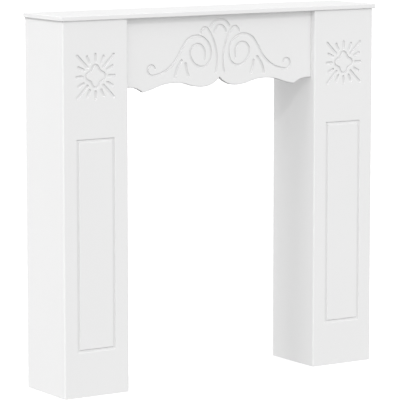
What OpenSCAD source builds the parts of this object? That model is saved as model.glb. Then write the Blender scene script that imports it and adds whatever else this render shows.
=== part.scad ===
// White fireplace surround: two box pilasters, a frieze between them and a thin shelf on top.
// It stands on the floor with its open back against a wall.
// +X runs along the shelf, the front faces -Y and the wall is at +Y.
// The origin is on the floor, below the centre of the shelf.

/* [Shelf] */
// Length of the top shelf, the widest part
shelf_w = 1000; // [820:2:1300]
// Depth of the top shelf, from its front edge to the wall
shelf_d = 200; // [150:1:300]
// Thickness of the top shelf
shelf_t = 12; // [9:0.5:30]
// How far the shelf stands past the pilasters, at the front and at each end
overhang = 5; // [0:0.5:30]

/* [Pilasters] */
// Height of the pilasters, from the floor to the underside of the shelf
leg_h = 988; // [800:2:1300]
// Width of a pilaster's front
leg_w = 196; // [160:1:240]
// Thickness of the pilaster's boards
board_t = 12; // [9:0.5:22]
// Radius of the rounded front corners, smaller than the board
arris_r = 4; // [1:0.5:8]

/* [Frieze] */
// Thickness of the frieze board
frieze_t = 12; // [9:0.5:22]
// How far the frieze stands behind the fronts of the pilasters
frieze_setback = 17; // [0:0.5:60]
// Height of the frieze at the cusp in its middle
frieze_mid_h = 168; // [150:1:190]

/* [Grooves] */
// Depth of every routed groove
groove_depth = 3.5; // [1:0.25:5]
// Width of the grooves of the scrollwork and the quatrefoils
line_w = 6.5; // [3:0.25:7]
// Width of the two leaf strokes under each volute
leaf_w = 8; // [3:0.25:9]
// Width of the rays of the sunbursts
ray_w = 8; // [4:0.25:9]
// Width of the groove of the long rectangle
panel_groove_w = 8; // [4:0.5:14]

/* [Long rectangle] */
// Width between the middles of its upright grooves
panel_w = 108; // [60:1:130]
// Height of its lower groove above the floor
panel_foot = 123; // [60:1:200]
// Distance of its upper groove below the shelf
panel_drop = 312; // [260:1:400]

/* [Sunburst] */
// Distance of its centre below the shelf
sun_drop = 146; // [100:1:180]
// Radius of the quatrefoil at the tips of its lobes
lobe_r = 29.5; // [26:0.5:31.5]
// Radius of the quatrefoil at the notches between its lobes
notch_r = 20; // [14:0.5:23]
// Radius at which the rays begin
ray_start = 40; // [38:0.5:46]
// Radius at which the short rays end
short_ray_end = 57; // [50:0.5:70]
// Radius at which the four long diagonal rays begin
long_ray_start = 34; // [31:0.5:40]
// Radius at which the four long diagonal rays end
long_ray_end = 78; // [60:0.5:86]
// Angle between an upright or level ray and the short ray beside it
ray_gap = 26; // [20:0.5:28]

/* [Hidden] */

paint = [0.93, 0.93, 0.92];

// Planes of the whole
shelf_front = -shelf_d / 2;
wall = shelf_d / 2;
leg_front = shelf_front + overhang;
leg_outer = shelf_w / 2 - overhang;
leg_inner = leg_outer - leg_w;
leg_middle = (leg_outer + leg_inner) / 2;
side_front = leg_front + board_t;
frieze_front = leg_front + frieze_setback;

// The frieze's wavy edge and scrollwork are drawn for this half length. On a longer frieze the plain ends
// grow, and on a shorter one the drawing shrinks.
drawn_half = 299;
drawn_scale = min(1, leg_inner / drawn_half);

// Turn of one step along an arc and round the end of a groove
arc_step = 10;
end_step = 30;
// The quatrefoil's lobes, and the turn of one step round it
lobes = 4;
lobe_step = 5;
// How far a cut runs past the face it opens
cut_past = 1;
round_fn = 48;

// A run is a chain of arcs, each [radius, turn], from a start [x, z, heading], measured from the middle of
// the frieze's top edge. The arcs join without a kink, and a turn above zero bends to the left.
edge_start = [0, -frieze_mid_h, -48];
edge_arcs = [[70, 48], [156, 17.5], [156, -37], [250, 10.5]];
edge_end_heading = 38;
edge_end_arcs = [[69, -38]];

volute_start = [49, -117, 96];
volute_arcs = [
    [280, -3], [24, -103], [23, -92], [44, -53], [28, -89],
    [47, -172], [490, -4], [102, 54], [17, 80], [12, 181]
];
stem_start = [61, -48, 85];
stem_arcs = [[13, 147], [133, 53]];
outer_leaf_start = [121, -119, -46];
outer_leaf_arcs = [[81, -35]];
inner_leaf_start = [109, -128, -100];
inner_leaf_arcs = [[171, -11]];

// The fan over the stems: two arcs about one centre, each [radius, half angle]
fan_drop = 48;
fan_arcs = [[18.5, 90], [34.5, 64]];

function turned(p, arc, turn) =
    let (side = sign(turn), heading = p[2] + turn)
    [
        p[0] + side * arc[0] * (sin(heading) - sin(p[2])),
        p[1] - side * arc[0] * (cos(heading) - cos(p[2])),
        heading
    ];

function steps_before_end(p, arc) =
    let (steps = ceil(abs(arc[1]) / arc_step))
    [for (k = [1:1:steps - 1]) turned(p, arc, arc[1] * k / steps)];

function chain(p, arcs, i = 0) =
    i == len(arcs)
        ? [p]
        : concat([p], steps_before_end(p, arcs[i]), chain(turned(p, arcs[i], arcs[i][1]), arcs, i + 1));

function run(start, arcs) =
    chain(
        [start[0] * drawn_scale, start[1] * drawn_scale, start[2]],
        [for (arc = arcs) [arc[0] * drawn_scale, arc[1]]]
    );

function beside(p, away) = [p[0] - away * sin(p[2]), p[1] + away * cos(p[2])];

function after_first(list) = [for (i = [1:len(list) - 1]) list[i]];

function reversed(list) = [for (i = [len(list) - 1:-1:0]) list[i]];

function mirrored(list) = [for (p = list) [-p[0], p[1]]];

// Half a turn about a run's end, from the heading given
function round_end(p, from, radius) =
    [for (turn = [0:end_step:180]) [p[0] + radius * cos(from - turn), p[1] + radius * sin(from - turn)]];

// Outline of the groove along a run, with round ends
function groove_outline(line, width) =
    let (last = line[len(line) - 1], inner = [for (i = [1:1:len(line) - 2]) line[i]])
    concat(
        [for (p = inner) beside(p, width / 2)],
        round_end(last, last[2] + 90, width / 2),
        reversed([for (p = inner) beside(p, -width / 2)]),
        round_end(line[0], line[0][2] - 90, width / 2)
    );

// Half of the frieze's lower edge, from its middle to the pilaster
function half_edge() =
    let (
        wave = run(edge_start, edge_arcs),
        cusp = wave[len(wave) - 1] / drawn_scale,
        rise = run([cusp[0], cusp[1], edge_end_heading], edge_end_arcs),
        curve = concat(wave, after_first(rise))
    )
    concat([for (p = curve) [p[0], p[1]]], [[leg_inner, curve[len(curve) - 1][1]]]);

function frieze_outline() =
    let (half = half_edge())
    concat(mirrored(reversed(half)), after_first(half), [[leg_inner, 0], [-leg_inner, 0]]);

module routed(line, width) {
    linear_extrude(groove_depth + cut_past)
        polygon(groove_outline(line, width));
}

// Stands a groove that is drawn in X and Y on a front face
module on_front(x, y, z) {
    translate([x, y, z])
        rotate([90, 0, 0])
            translate([0, 0, -groove_depth])
                children();
}

module half_scrollwork() {
    routed(run(volute_start, volute_arcs), line_w);
    routed(run(stem_start, stem_arcs), line_w);
    routed(run(outer_leaf_start, outer_leaf_arcs), leaf_w);
    routed(run(inner_leaf_start, inner_leaf_arcs), leaf_w);
}

module fan() {
    for (arc = fan_arcs) {
        start = [arc[0] * sin(arc[1]), arc[0] * cos(arc[1]) - fan_drop, 180 - arc[1]];
        routed(run(start, [[arc[0], 2 * arc[1]]]), line_w);
    }
}

module scrollwork() {
    half_scrollwork();
    mirror([1, 0, 0])
        half_scrollwork();
    fan();
}

module quatrefoil() {
    mean = (lobe_r + notch_r) / 2;
    swing = (lobe_r - notch_r) / 2;
    line = [
        for (a = [0:lobe_step:359])
            let (radius = mean + swing * cos(lobes * a), rise = lobes * swing * sin(lobes * a))
            [radius * cos(a), radius * sin(a), a + 90 + atan(rise / radius)]
    ];
    linear_extrude(groove_depth + cut_past)
        difference() {
            polygon([for (p = line) beside(p, -line_w / 2)]);
            polygon([for (p = line) beside(p, line_w / 2)]);
        }
}

module sunburst() {
    quatrefoil();
    for (quarter = [0:90:270]) {
        for (angle = [0, ray_gap, 90 - ray_gap])
            rotate(quarter + angle)
                routed([[ray_start, 0, 0], [short_ray_end, 0, 0]], ray_w);
        rotate(quarter + 45)
            routed([[long_ray_start, 0, 0], [long_ray_end, 0, 0]], ray_w);
    }
}

module long_rectangle() {
    panel_top = leg_h - panel_drop;
    translate([0, panel_foot, 0])
        linear_extrude(groove_depth + cut_past)
            difference() {
                translate([-(panel_w + panel_groove_w) / 2, -panel_groove_w / 2])
                    square([panel_w + panel_groove_w, panel_top - panel_foot + panel_groove_w]);
                translate([-(panel_w - panel_groove_w) / 2, panel_groove_w / 2])
                    square([panel_w - panel_groove_w, panel_top - panel_foot - panel_groove_w]);
            }
}

// A board that stands upright, with its front corners rounded
module rounded_board() {
    linear_extrude(leg_h) {
        translate([-leg_w / 2, leg_front + arris_r])
            square([leg_w, board_t - arris_r]);
        translate([-leg_w / 2 + arris_r, leg_front])
            square([leg_w - 2 * arris_r, arris_r]);
        intersection() {
            translate([-leg_w / 2, leg_front])
                square([leg_w, arris_r]);
            for (side = [-1, 1])
                translate([side * (leg_w / 2 - arris_r), leg_front + arris_r])
                    circle(r = arris_r, $fn = round_fn);
        }
    }
}

module pilaster_front(side) {
    color(paint)
        translate([side * leg_middle, 0, 0])
            difference() {
                rounded_board();
                on_front(0, leg_front, 0)
                    long_rectangle();
                on_front(0, leg_front, leg_h - sun_drop)
                    sunburst();
            }
}

module pilaster_side(side, near_face) {
    color(paint)
        translate([side > 0 ? near_face : -near_face - board_t, side_front, 0])
            cube([board_t, wall - side_front, leg_h]);
}

module top_shelf() {
    color(paint)
        translate([-shelf_w / 2, shelf_front, leg_h])
            cube([shelf_w, shelf_d, shelf_t]);
}

module frieze() {
    color(paint)
        difference() {
            translate([0, frieze_front + frieze_t, leg_h])
                rotate([90, 0, 0])
                    linear_extrude(frieze_t)
                        polygon(frieze_outline());
            on_front(0, frieze_front, leg_h)
                scrollwork();
        }
}

module left_pilaster_front() {
    pilaster_front(-1);
}

module left_pilaster_outer_side() {
    pilaster_side(-1, leg_outer - board_t);
}

module left_pilaster_inner_side() {
    pilaster_side(-1, leg_inner);
}

module right_pilaster_front() {
    pilaster_front(1);
}

module right_pilaster_outer_side() {
    pilaster_side(1, leg_outer - board_t);
}

module right_pilaster_inner_side() {
    pilaster_side(1, leg_inner);
}

top_shelf();
frieze();
left_pilaster_front();
left_pilaster_outer_side();
left_pilaster_inner_side();
right_pilaster_front();
right_pilaster_outer_side();
right_pilaster_inner_side();
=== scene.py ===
"""White free-standing fireplace surround: carved and plain painted boards, a pale floor and soft light."""

import math

import bpy
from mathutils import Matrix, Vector
from mathutils.geometry import delaunay_2d_cdt


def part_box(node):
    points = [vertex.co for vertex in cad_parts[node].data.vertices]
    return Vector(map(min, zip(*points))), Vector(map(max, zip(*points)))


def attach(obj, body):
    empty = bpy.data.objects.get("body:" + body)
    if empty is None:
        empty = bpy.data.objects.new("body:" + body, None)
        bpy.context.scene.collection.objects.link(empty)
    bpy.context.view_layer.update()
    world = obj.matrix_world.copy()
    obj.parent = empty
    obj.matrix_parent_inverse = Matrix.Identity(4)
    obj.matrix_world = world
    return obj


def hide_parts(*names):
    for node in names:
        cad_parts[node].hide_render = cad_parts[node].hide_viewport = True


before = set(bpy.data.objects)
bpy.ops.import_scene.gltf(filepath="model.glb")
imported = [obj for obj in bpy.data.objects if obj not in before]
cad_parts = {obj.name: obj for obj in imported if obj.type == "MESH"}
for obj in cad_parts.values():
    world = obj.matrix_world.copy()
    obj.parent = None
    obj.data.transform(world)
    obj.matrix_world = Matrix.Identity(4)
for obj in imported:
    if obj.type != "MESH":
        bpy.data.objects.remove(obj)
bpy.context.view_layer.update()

MM = 0.001

# Sizes of the grooves in millimetres, the same as in the CAD model
GROOVE_DEPTH = 3.5
LINE_W = 6.5
LEAF_W = 8.0
RAY_W = 8.0
PANEL_GROOVE_W = 8.0

# How a groove falls from its rim to its middle: (share of its half width, share of its depth). The two
# contours outside the rim are flat, so that the face beside a groove keeps its flat shading.
COVE = ((1.25, 0), (1.1, 0), (1.02, 0.06), (0.94, 0.35), (0.84, 0.74), (0.7, 0.93), (0.4, 1), (0, 1))
TROUGH = ((1.3, 0), (1.1, 0), (1.02, 0.06), (0.9, 0.3), (0.68, 0.78), (0.5, 0.96), (0.3, 1), (0, 1))

# Roundings of the boards' edges in millimetres
ARRIS_R = 4.0
FRIEZE_EASE = 1.8
FRIEZE_BACK_EASE = 0.6
SIDE_EASE = 0.5
SHELF_EASE = 1.5
HOLD = 0.4 * MM  # width of the flat strip beside a rounded edge, which keeps the flat face's shading flat
SHARP = math.radians(38)  # an edge that turns by more than this stays crisp


# ---- Runs: chains of arcs in millimetres, as (x, z, heading) --------------------------------------------

def turned(p, radius, turn):
    """Where a point gets to after an arc; a turn above zero bends to the left."""
    side = math.copysign(1, turn)
    a, b = math.radians(p[2]), math.radians(p[2] + turn)
    return (
        p[0] + side * radius * (math.sin(b) - math.sin(a)),
        p[1] - side * radius * (math.cos(b) - math.cos(a)),
        p[2] + turn,
    )


def run(start, arcs, spacing=2.5, most_turn=7.5):
    """Points along arcs, each (radius, turn), that follow each other without a kink."""
    line = [start]
    for radius, turn in arcs:
        length = radius * math.radians(abs(turn))
        steps = max(1, math.ceil(length / spacing), math.ceil(abs(turn) / most_turn))
        corner = line[-1]
        line += [turned(corner, radius, turn * k / steps) for k in range(1, steps + 1)]
    return line


def mirrored(line):
    return [(-x, z, 180 - heading) for x, z, heading in line]


def beside(p, away):
    """The point to the left of a run's point, or to its right where away is below zero."""
    a = math.radians(p[2])
    return (p[0] - away * math.sin(a), p[1] + away * math.cos(a))


def round_end(p, start, radius, steps=8):
    """Half a turn about a run's end, clockwise from the angle start."""
    turns = [math.radians(start - 180 * k / steps) for k in range(steps + 1)]
    return [(p[0] + radius * math.cos(t), p[1] + radius * math.sin(t)) for t in turns]


def around(line, away):
    """The closed line that stays a distance away from an open run."""
    inner = line[1:-1]
    return (
        [beside(p, away) for p in inner]
        + round_end(line[-1], line[-1][2] + 90, away)
        + [beside(p, -away) for p in reversed(inner)]
        + round_end(line[0], line[0][2] - 90, away)
    )


# ---- Grooves: lists of contours, each (points, closed, depth) -------------------------------------------

def open_groove(line, width):
    """A groove with round ends along a run."""
    half = width / 2
    contours = [(around(line, half * share), True, GROOVE_DEPTH * fall) for share, fall in COVE[:-1]]
    return contours + [([p[:2] for p in line], False, GROOVE_DEPTH)]


def closed_groove(line_at, width, shape):
    """A groove that closes on itself; line_at gives the closed line at a distance outside its middle."""
    half = width / 2
    contours = []
    for share, fall in shape:
        for side in ((-1, 1) if share else (1,)):
            contours.append((line_at(side * half * share), True, GROOVE_DEPTH * fall))
    return contours


# ---- The frieze's wave and scrollwork, measured from the middle of its top edge -------------------------

FRIEZE_MID_H = 168.0
EDGE = run((0, -FRIEZE_MID_H, -48), [(70, 48), (156, 17.5), (156, -37), (250, 10.5)])
EDGE_END = run((EDGE[-1][0], EDGE[-1][1], 38), [(69, -38)])

VOLUTE = run(
    (49, -117, 96),
    [
        (280, -3), (24, -103), (23, -92), (44, -53), (28, -89),
        (47, -172), (490, -4), (102, 54), (17, 80), (12, 181),
    ],
)
STEM = run((61, -48, 85), [(13, 147), (133, 53)])
OUTER_LEAF = run((121, -119, -46), [(81, -35)])
INNER_LEAF = run((109, -128, -100), [(171, -11)])

# The fan over the stems: two arcs about one centre, each (radius, half angle)
FAN_DROP = 48.0
FAN = ((18.5, 90), (34.5, 64))


def fan_arc(radius, half_angle):
    a = math.radians(half_angle)
    start = (radius * math.sin(a), radius * math.cos(a) - FAN_DROP, 180 - half_angle)
    return run(start, [(radius, 2 * half_angle)])


def scrollwork():
    contours = []
    for side in (lambda line: line, mirrored):
        contours += open_groove(side(VOLUTE), LINE_W)
        contours += open_groove(side(STEM), LINE_W)
        contours += open_groove(side(OUTER_LEAF), LEAF_W)
        contours += open_groove(side(INNER_LEAF), LEAF_W)
    for radius, half_angle in FAN:
        contours += open_groove(fan_arc(radius, half_angle), LINE_W)
    return contours


# ---- The pilasters' sunburst, measured from its centre --------------------------------------------------

SUN_DROP = 146.0
LOBES = 4
LOBE_R = 29.5
NOTCH_R = 20.0
RAY_GAP = 26.0
SHORT_RAY = (40.0, 57.0)
LONG_RAY = (34.0, 78.0)


def quatrefoil(away, step=3):
    """The line beside the four-lobed one, moved along the radius, so that lines never cross in a notch."""
    mean, swing = (LOBE_R + NOTCH_R) / 2, (LOBE_R - NOTCH_R) / 2
    line = []
    for degrees in range(0, 360, step):
        a = math.radians(degrees)
        radius = mean + swing * math.cos(LOBES * a)
        slope = LOBES * swing * math.sin(LOBES * a) / radius
        moved = radius + away * math.hypot(1, slope)
        line.append((moved * math.cos(a), moved * math.sin(a)))
    return line


def ray(angle, start, end, steps=6):
    turn = math.radians(angle)
    radii = [start + (end - start) * k / steps for k in range(steps + 1)]
    return [(r * math.cos(turn), r * math.sin(turn), angle) for r in radii]


def sunburst():
    contours = closed_groove(quatrefoil, LINE_W, COVE)
    for quarter in range(0, 360, 90):
        for angle in (0, RAY_GAP, 90 - RAY_GAP):
            contours += open_groove(ray(quarter + angle, *SHORT_RAY), RAY_W)
        contours += open_groove(ray(quarter + 45, *LONG_RAY), RAY_W)
    return contours


# ---- The pilasters' long rectangle, measured from the middle of the front's foot ------------------------

PANEL_W = 108.0
PANEL_FOOT = 123.0
PANEL_TOP = 676.0
CORNER_MARKS = (0.5, 1.5)  # where the close points beside a corner lie; they keep its shading small


def straight(a, b, spacing):
    """Points from a up to, but not at, b, with the close ones near both ends."""
    length = math.dist(a, b)
    marks = {0.0, *CORNER_MARKS, *(length - mark for mark in CORNER_MARKS)}
    marks |= {spacing * k for k in range(1, int(length / spacing))}
    return [tuple(a[i] + (b[i] - a[i]) * m / length for i in (0, 1)) for m in sorted(marks)]


def rectangle(x0, z0, x1, z1, spacing=12.0):
    corners = [(x0, z0), (x1, z0), (x1, z1), (x0, z1)]
    return [p for i in range(4) for p in straight(corners[i], corners[(i + 1) % 4], spacing)]


def long_rectangle():
    def line_at(away):
        half = PANEL_W / 2 + away
        return rectangle(-half, PANEL_FOOT - away, half, PANEL_TOP + away)

    return closed_groove(line_at, PANEL_GROOVE_W, TROUGH)


# ---- Boards in general ----------------------------------------------------------------------------------

def inset(loop, away):
    """A closed anticlockwise loop moved inwards, with mitred corners."""
    if away == 0:
        return list(loop)
    moved = []
    for before, here, after in zip(loop[-1:] + loop[:-1], loop, loop[1:] + loop[:1]):
        a = (Vector(here) - Vector(before)).normalized()
        b = (Vector(after) - Vector(here)).normalized()
        na, nb = Vector((-a.y, a.x)), Vector((-b.y, b.x))
        moved.append(tuple(Vector(here) + (na + nb) * away / (1 + na.dot(nb))))
    return moved


def inset_sides(loop, away):
    """The same for an upright rectangle whose top and bottom stay square."""
    middle = (min(p[0] for p in loop) + max(p[0] for p in loop)) / 2
    return [(x + math.copysign(away, middle - x), z) for x, z in loop]


def edge_rings(loop, face, inwards, ease, steps, move):
    """Rings (loop, depth) from the flat of a face round its edge to the board's side."""
    if ease == 0:
        return [(loop, face)]
    turns = [math.pi / 2 * k / steps for k in range(steps + 1)]
    rings = [(move(loop, ease + HOLD), face)]
    rings += [
        (move(loop, ease * (1 - math.sin(t))), face + inwards * ease * (1 - math.cos(t))) for t in turns
    ]
    return rings + [(loop, face + inwards * (ease + HOLD))]


def cap(points, rim, contours, face, inwards):
    """Triangles over a face inside its rim; the points of its grooves are added at their depths."""
    flat = [Vector(points[i][:2]) for i in rim]
    index = list(rim)
    n = len(flat)
    links = [(i, (i + 1) % n) for i in range(n)]
    for loop, closed, depth in contours:
        first, count = len(flat), len(loop)
        flat += [Vector(p) for p in loop]
        index += [len(points) + k for k in range(count)]
        points += [(p[0], p[1], face + inwards * depth) for p in loop]
        links += [(first + k, first + (k + 1) % count) for k in range(count if closed else count - 1)]
    inside_only, tolerance = 1, 1e-9
    found, _, faces, origin, _, _ = delaunay_2d_cdt(flat, links, [], inside_only, tolerance)
    crossed = [tuple(round(c / MM, 2) for c in p) for p, o in zip(found, origin) if not o]
    assert not crossed, f"contours cross at {crossed[:20]}"
    return [tuple(index[origin[v][0]] for v in f) for f in faces]


def board(name, loop, back, front, place, contours=(), front_ease=0.0, back_ease=0.0, steps=3, move=inset):
    """A board with rounded edges.

    The loop and the contours lie in the board's own plane, back and front are the depths of its two faces,
    and place puts a point with its depth into the frame. All are in metres.
    """
    inwards = math.copysign(1, back - front)
    rings = edge_rings(loop, back, -inwards, back_ease, steps, move)
    rings += reversed(edge_rings(loop, front, inwards, front_ease, steps, move))
    n = len(loop)
    points = [(x, z, depth) for line, depth in rings for x, z in line]
    faces = []
    for r in range(len(rings) - 1):
        for k in range(n):
            a, b = r * n + k, r * n + (k + 1) % n
            faces.append((a, b, b + n, a + n))
    front_rim = range((len(rings) - 1) * n, len(rings) * n)
    uncarved = len(points)
    faces += [tuple(reversed(f)) for f in cap(points, range(n), [], back, 0)]
    faces += cap(points, front_rim, contours, front, inwards)
    depths = [0.0] * uncarved + [abs(p[2] - front) for p in points[uncarved:]]
    return make_piece(name, [place(*p) for p in points], faces, depths)


def make_piece(name, points, faces, depths):
    """A piece whose attribute carved tells its material how deep in a groove each point lies."""
    mesh = bpy.data.meshes.new(name)
    mesh.from_pydata(points, [], faces)
    mesh.validate()
    carved = mesh.attributes.new("carved", "FLOAT", "POINT")
    carved.data.foreach_set("value", depths)
    mesh.shade_smooth()
    mesh.set_sharp_from_angle(angle=SHARP)
    piece = bpy.data.objects.new(name, mesh)
    bpy.context.scene.collection.objects.link(piece)
    return piece


def finish_piece(piece, node, material):
    piece.data.materials.append(material)
    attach(piece, "root")
    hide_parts(node)


def in_metres(contours, dx, dz):
    """Contours drawn in millimetres, moved to a board's own place."""
    return [
        ([(x * MM + dx, z * MM + dz) for x, z in points], closed, depth * MM)
        for points, closed, depth in contours
    ]


# ---- The eight boards -----------------------------------------------------------------------------------

# Each of these three puts a point of a board's own plane, and its depth, into the frame

def facing_front(x, z, y):
    return (x, y, z)


def facing_side(y, z, x):
    return (x, y, z)


def lying(x, y, z):
    return (x, y, z)


def frieze_loop(half, top):
    """The frieze's outline, anticlockwise from the lower left corner."""
    wave = [p[:2] for p in EDGE + EDGE_END[1:]]
    right = [(x * MM, top + z * MM) for x, z in wave]
    level = right[-1][1]
    left = [(-x, z) for x, z in reversed(right)]
    return [(-half, level)] + left + right[1:] + [(half, level), (half, top), (-half, top)]


def make_frieze(material):
    lo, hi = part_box("frieze")
    loop = frieze_loop(hi.x, hi.z)
    contours = in_metres(scrollwork(), 0, hi.z)
    piece = board(
        "carved_frieze", loop, hi.y, lo.y, facing_front, contours,
        front_ease=FRIEZE_EASE * MM, back_ease=FRIEZE_BACK_EASE * MM,
    )
    finish_piece(piece, "frieze", material)


def make_pilaster_front(side, material):
    node = side + "_pilaster_front"
    lo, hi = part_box(node)
    loop = [(lo.x, lo.z), (hi.x, lo.z), (hi.x, hi.z), (lo.x, hi.z)]
    middle = (lo.x + hi.x) / 2
    contours = in_metres(long_rectangle(), middle, lo.z)
    contours += in_metres(sunburst(), middle, hi.z - SUN_DROP * MM)
    piece = board(
        side + "_carved_pilaster", loop, hi.y, lo.y, facing_front, contours,
        front_ease=ARRIS_R * MM, steps=7, move=inset_sides,
    )
    finish_piece(piece, node, material)


def make_side_board(side, which, material):
    node = f"{side}_pilaster_{which}_side"
    lo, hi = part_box(node)
    loop = [(lo.y, lo.z), (hi.y, lo.z), (hi.y, hi.z), (lo.y, hi.z)]
    piece = board(
        f"{side}_{which}_board", loop, lo.x, hi.x, facing_side,
        front_ease=SIDE_EASE * MM, back_ease=SIDE_EASE * MM,
    )
    finish_piece(piece, node, material)


def make_shelf(material):
    lo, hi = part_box("top_shelf")
    loop = [(lo.x, lo.y), (hi.x, lo.y), (hi.x, hi.y), (lo.x, hi.y)]
    piece = board(
        "mantel_shelf", loop, lo.z, hi.z, lying,
        front_ease=SHELF_EASE * MM, back_ease=SHELF_EASE * MM, steps=5,
    )
    finish_piece(piece, "top_shelf", material)


# ---- Materials ------------------------------------------------------------------------------------------

PAINT_TONE = (0.86, 0.86, 0.86)
PAINT_SHADE = (0.85, 0.85, 0.85)
PAINT_ROUGHNESS = (0.5, 0.62)
PAINT_SPECULAR = 0.25
PEEL_STRENGTH = 0.12
PEEL_HEIGHT = 0.0003
# Painted shade in the grooves: their base colour is multiplied by this factor
PAINTED_GROOVE_SHADE = 0.91
PAINTED_SHADE_FULL_FROM = 0.5  # share of a groove's depth from which its painted shade is at full darkness

FLOOR_TONE = (0.5, 0.5, 0.5)
FLOOR_PALER = (0.52, 0.52, 0.52)
FLOOR_ROUGHNESS = 0.9
FLOOR_SPECULAR = 0.1
FLOOR_GLOW = 0.65  # lifts the floor to the white of a studio sweep


def add_node(tree, kind, **values):
    node = tree.nodes.new(kind)
    for key, value in values.items():
        if key in node.inputs:
            node.inputs[key].default_value = value
        else:
            setattr(node, key, value)
    return node


def noise(tree, coordinates, scale, detail, roughness=0.5):
    node = add_node(tree, "ShaderNodeTexNoise", Scale=scale, Detail=detail, Roughness=roughness)
    tree.links.new(coordinates, node.inputs["Vector"])
    return node.outputs["Fac"]


def spread(tree, value, low, high, from_low=0.3, from_high=0.7):
    """Maps a range to another one; most of a noise lies between 0.3 and 0.7."""
    node = add_node(tree, "ShaderNodeMapRange")
    for key, v in (("From Min", from_low), ("From Max", from_high), ("To Min", low), ("To Max", high)):
        node.inputs[key].default_value = v
    tree.links.new(value, node.inputs["Value"])
    return node.outputs["Result"]


def mix_colours(tree, factor, a, b):
    """A blend of two colours, each a tuple or another node's output."""
    node = add_node(tree, "ShaderNodeMix", data_type="RGBA")
    first_colour, second_colour, mixed_colour = node.inputs[6], node.inputs[7], node.outputs[2]
    tree.links.new(factor, node.inputs["Factor"])
    for socket, colour in ((first_colour, a), (second_colour, b)):
        if isinstance(colour, tuple):
            socket.default_value = colour
        else:
            tree.links.new(colour, socket)
    return mixed_colour


def new_material(name):
    """A material's node tree, its shader and the object coordinates that its detail is laid out in."""
    material = bpy.data.materials.new(name)
    material.use_nodes = True
    tree = material.node_tree
    where = add_node(tree, "ShaderNodeTexCoord").outputs["Object"]
    return material, tree, tree.nodes["Principled BSDF"], where


def satin_paint(name):
    """Sprayed satin paint: faint cloudy tone, fine orange peel, and painted shade that darkens the grooves.
    """
    material, tree, shader, where = new_material(name)
    clouds = spread(tree, noise(tree, where, scale=4.0, detail=3.0), 0, 1)
    colour = mix_colours(tree, clouds, (*PAINT_TONE, 1), (*PAINT_SHADE, 1))
    carved = add_node(tree, "ShaderNodeAttribute", attribute_name="carved").outputs["Fac"]
    # painted shade: the base colour darkens with the depth in a groove, standing in for the shade that
    # falls there
    groove_shade_mask = spread(tree, carved, 0, 1, 0.0, PAINTED_SHADE_FULL_FROM * GROOVE_DEPTH * MM)
    painted_groove_shade_tone = tuple(c * PAINTED_GROOVE_SHADE for c in PAINT_TONE) + (1,)
    colour = mix_colours(tree, groove_shade_mask, colour, painted_groove_shade_tone)
    tree.links.new(colour, shader.inputs["Base Color"])
    rough = spread(tree, noise(tree, where, scale=60.0, detail=4.0, roughness=0.6), *PAINT_ROUGHNESS)
    tree.links.new(rough, shader.inputs["Roughness"])
    bump = add_node(tree, "ShaderNodeBump", Strength=PEEL_STRENGTH, Distance=PEEL_HEIGHT)
    tree.links.new(noise(tree, where, scale=700.0, detail=2.0), bump.inputs["Height"])
    tree.links.new(bump.outputs["Normal"], shader.inputs["Normal"])
    shader.inputs["Specular IOR Level"].default_value = PAINT_SPECULAR
    return material


def pale_ground():
    """A matt, faintly mottled floor that glows, so that it is as white as the background."""
    material, tree, shader, where = new_material("pale_floor")
    mottle = spread(tree, noise(tree, where, scale=1.5, detail=3.0), 0, 1)
    colour = mix_colours(tree, mottle, (*FLOOR_TONE, 1), (*FLOOR_PALER, 1))
    tree.links.new(colour, shader.inputs["Base Color"])
    shader.inputs["Roughness"].default_value = FLOOR_ROUGHNESS
    shader.inputs["Specular IOR Level"].default_value = FLOOR_SPECULAR
    shader.inputs["Emission Color"].default_value = (1, 1, 1, 1)
    shader.inputs["Emission Strength"].default_value = FLOOR_GLOW
    return material


# ---- Studio ---------------------------------------------------------------------------------------------

LENS = 235.0
SENSOR_WIDTH = 36.0
CAMERA_PLACE = (-3.8512, -5.8800, 1.4454)
CAMERA_DOWN = 7.829  # degrees that its view points below level
CAMERA_RIGHT = 33.1385  # degrees that its view turns from +Y towards +X
CLIP = (0.1, 400)  # nearest and farthest distance that the camera sees

FLOOR_HALF = 120.0  # half the length of the floor's side

DOME_FADE = (-0.8, 0)  # how far a direction points up where the dome is dark, and where it is full


def make_camera():
    data = bpy.data.cameras.new("camera")
    data.sensor_width = SENSOR_WIDTH
    data.lens = LENS
    data.clip_start, data.clip_end = CLIP
    camera = bpy.data.objects.new("camera", data)
    bpy.context.scene.collection.objects.link(camera)
    camera.location = CAMERA_PLACE
    camera.rotation_euler = (math.radians(90 - CAMERA_DOWN), 0, math.radians(-CAMERA_RIGHT))
    bpy.context.scene.camera = camera


def make_floor():
    """The floor shows itself only to the camera, and neither lights the object nor shades it from below."""
    mesh = bpy.data.meshes.new("floor")
    half = FLOOR_HALF
    corners = [(-half, -half, 0), (half, -half, 0), (half, half, 0), (-half, half, 0)]
    mesh.from_pydata(corners, [], [(0, 1, 2, 3)])
    mesh.materials.append(pale_ground())
    floor = bpy.data.objects.new("floor", mesh)
    bpy.context.scene.collection.objects.link(floor)
    floor.visible_diffuse = False
    floor.visible_glossy = False
    floor.visible_shadow = False


def positive(tree, value, sign):
    """The value times the sign where that is above zero, and zero elsewhere."""
    times = add_node(tree, "ShaderNodeMath", operation="MULTIPLY")
    tree.links.new(value, times.inputs[0])
    times.inputs[1].default_value = sign
    limit = add_node(tree, "ShaderNodeMath", operation="MAXIMUM")
    tree.links.new(times.outputs[0], limit.inputs[0])
    limit.inputs[1].default_value = 0
    return limit.outputs[0]


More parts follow.
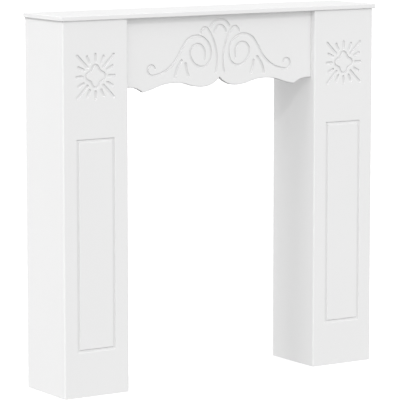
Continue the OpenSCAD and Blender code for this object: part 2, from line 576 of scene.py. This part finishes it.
def make_dome(base, lobes):
    """A soft light all round that fades towards straight down and is stronger towards some sides.

    Each lobe is (axis, sign, strength).
    """
    world = bpy.data.worlds.new("studio")
    bpy.context.scene.world = world
    world.use_nodes = True
    tree = world.node_tree
    parts = add_node(tree, "ShaderNodeSeparateXYZ")
    tree.links.new(add_node(tree, "ShaderNodeTexCoord").outputs["Generated"], parts.inputs[0])
    total = None
    for axis, sign, strength in lobes:
        step = add_node(tree, "ShaderNodeMath", operation="MULTIPLY_ADD")
        tree.links.new(positive(tree, parts.outputs[axis], sign), step.inputs[0])
        step.inputs[1].default_value = strength
        if total is None:
            step.inputs[2].default_value = base
        else:
            tree.links.new(total, step.inputs[2])
        total = step.outputs[0]
    rise = spread(tree, parts.outputs["Z"], 0, 1, *DOME_FADE)
    faded = add_node(tree, "ShaderNodeMath", operation="MULTIPLY")
    tree.links.new(total, faded.inputs[0])
    tree.links.new(rise, faded.inputs[1])
    background = tree.nodes["Background"]
    tree.links.new(faded.outputs[0], background.inputs["Strength"])
    background.inputs["Color"].default_value = (1, 1, 1, 1)


def make_sun(name, azimuth, elevation, strength, width):
    """A distant lamp; azimuth is measured from straight in front, and below zero is to the left."""
    data = bpy.data.lights.new(name, "SUN")
    data.energy = strength
    data.angle = math.radians(width)
    lamp = bpy.data.objects.new(name, data)
    bpy.context.scene.collection.objects.link(lamp)
    lamp.rotation_euler = (math.radians(90 - elevation), 0, math.radians(azimuth))


def make_light():
    make_dome(base=0.53, lobes=(("X", -1, 0.50), ("X", 1, 0.2), ("Y", -1, 0.69), ("Y", 1, 0.15)))
    make_sun("key", azimuth=-30, elevation=34, strength=0.45, width=3.0)
    make_sun("left_fill", azimuth=-90, elevation=43, strength=0.8, width=16.0)
    make_sun("back_fill", azimuth=180, elevation=0, strength=0.7, width=20.0)


def main():
    carved = satin_paint("carved_white_paint")
    plain = satin_paint("plain_white_paint")
    make_shelf(plain)
    make_frieze(carved)
    for side in ("left", "right"):
        make_pilaster_front(side, carved)
        for which in ("outer", "inner"):
            make_side_board(side, which, plain)
    make_camera()
    make_floor()
    make_light()
    bpy.context.scene.view_settings.view_transform = "Standard"
    bpy.context.scene.view_settings.look = "None"


main()
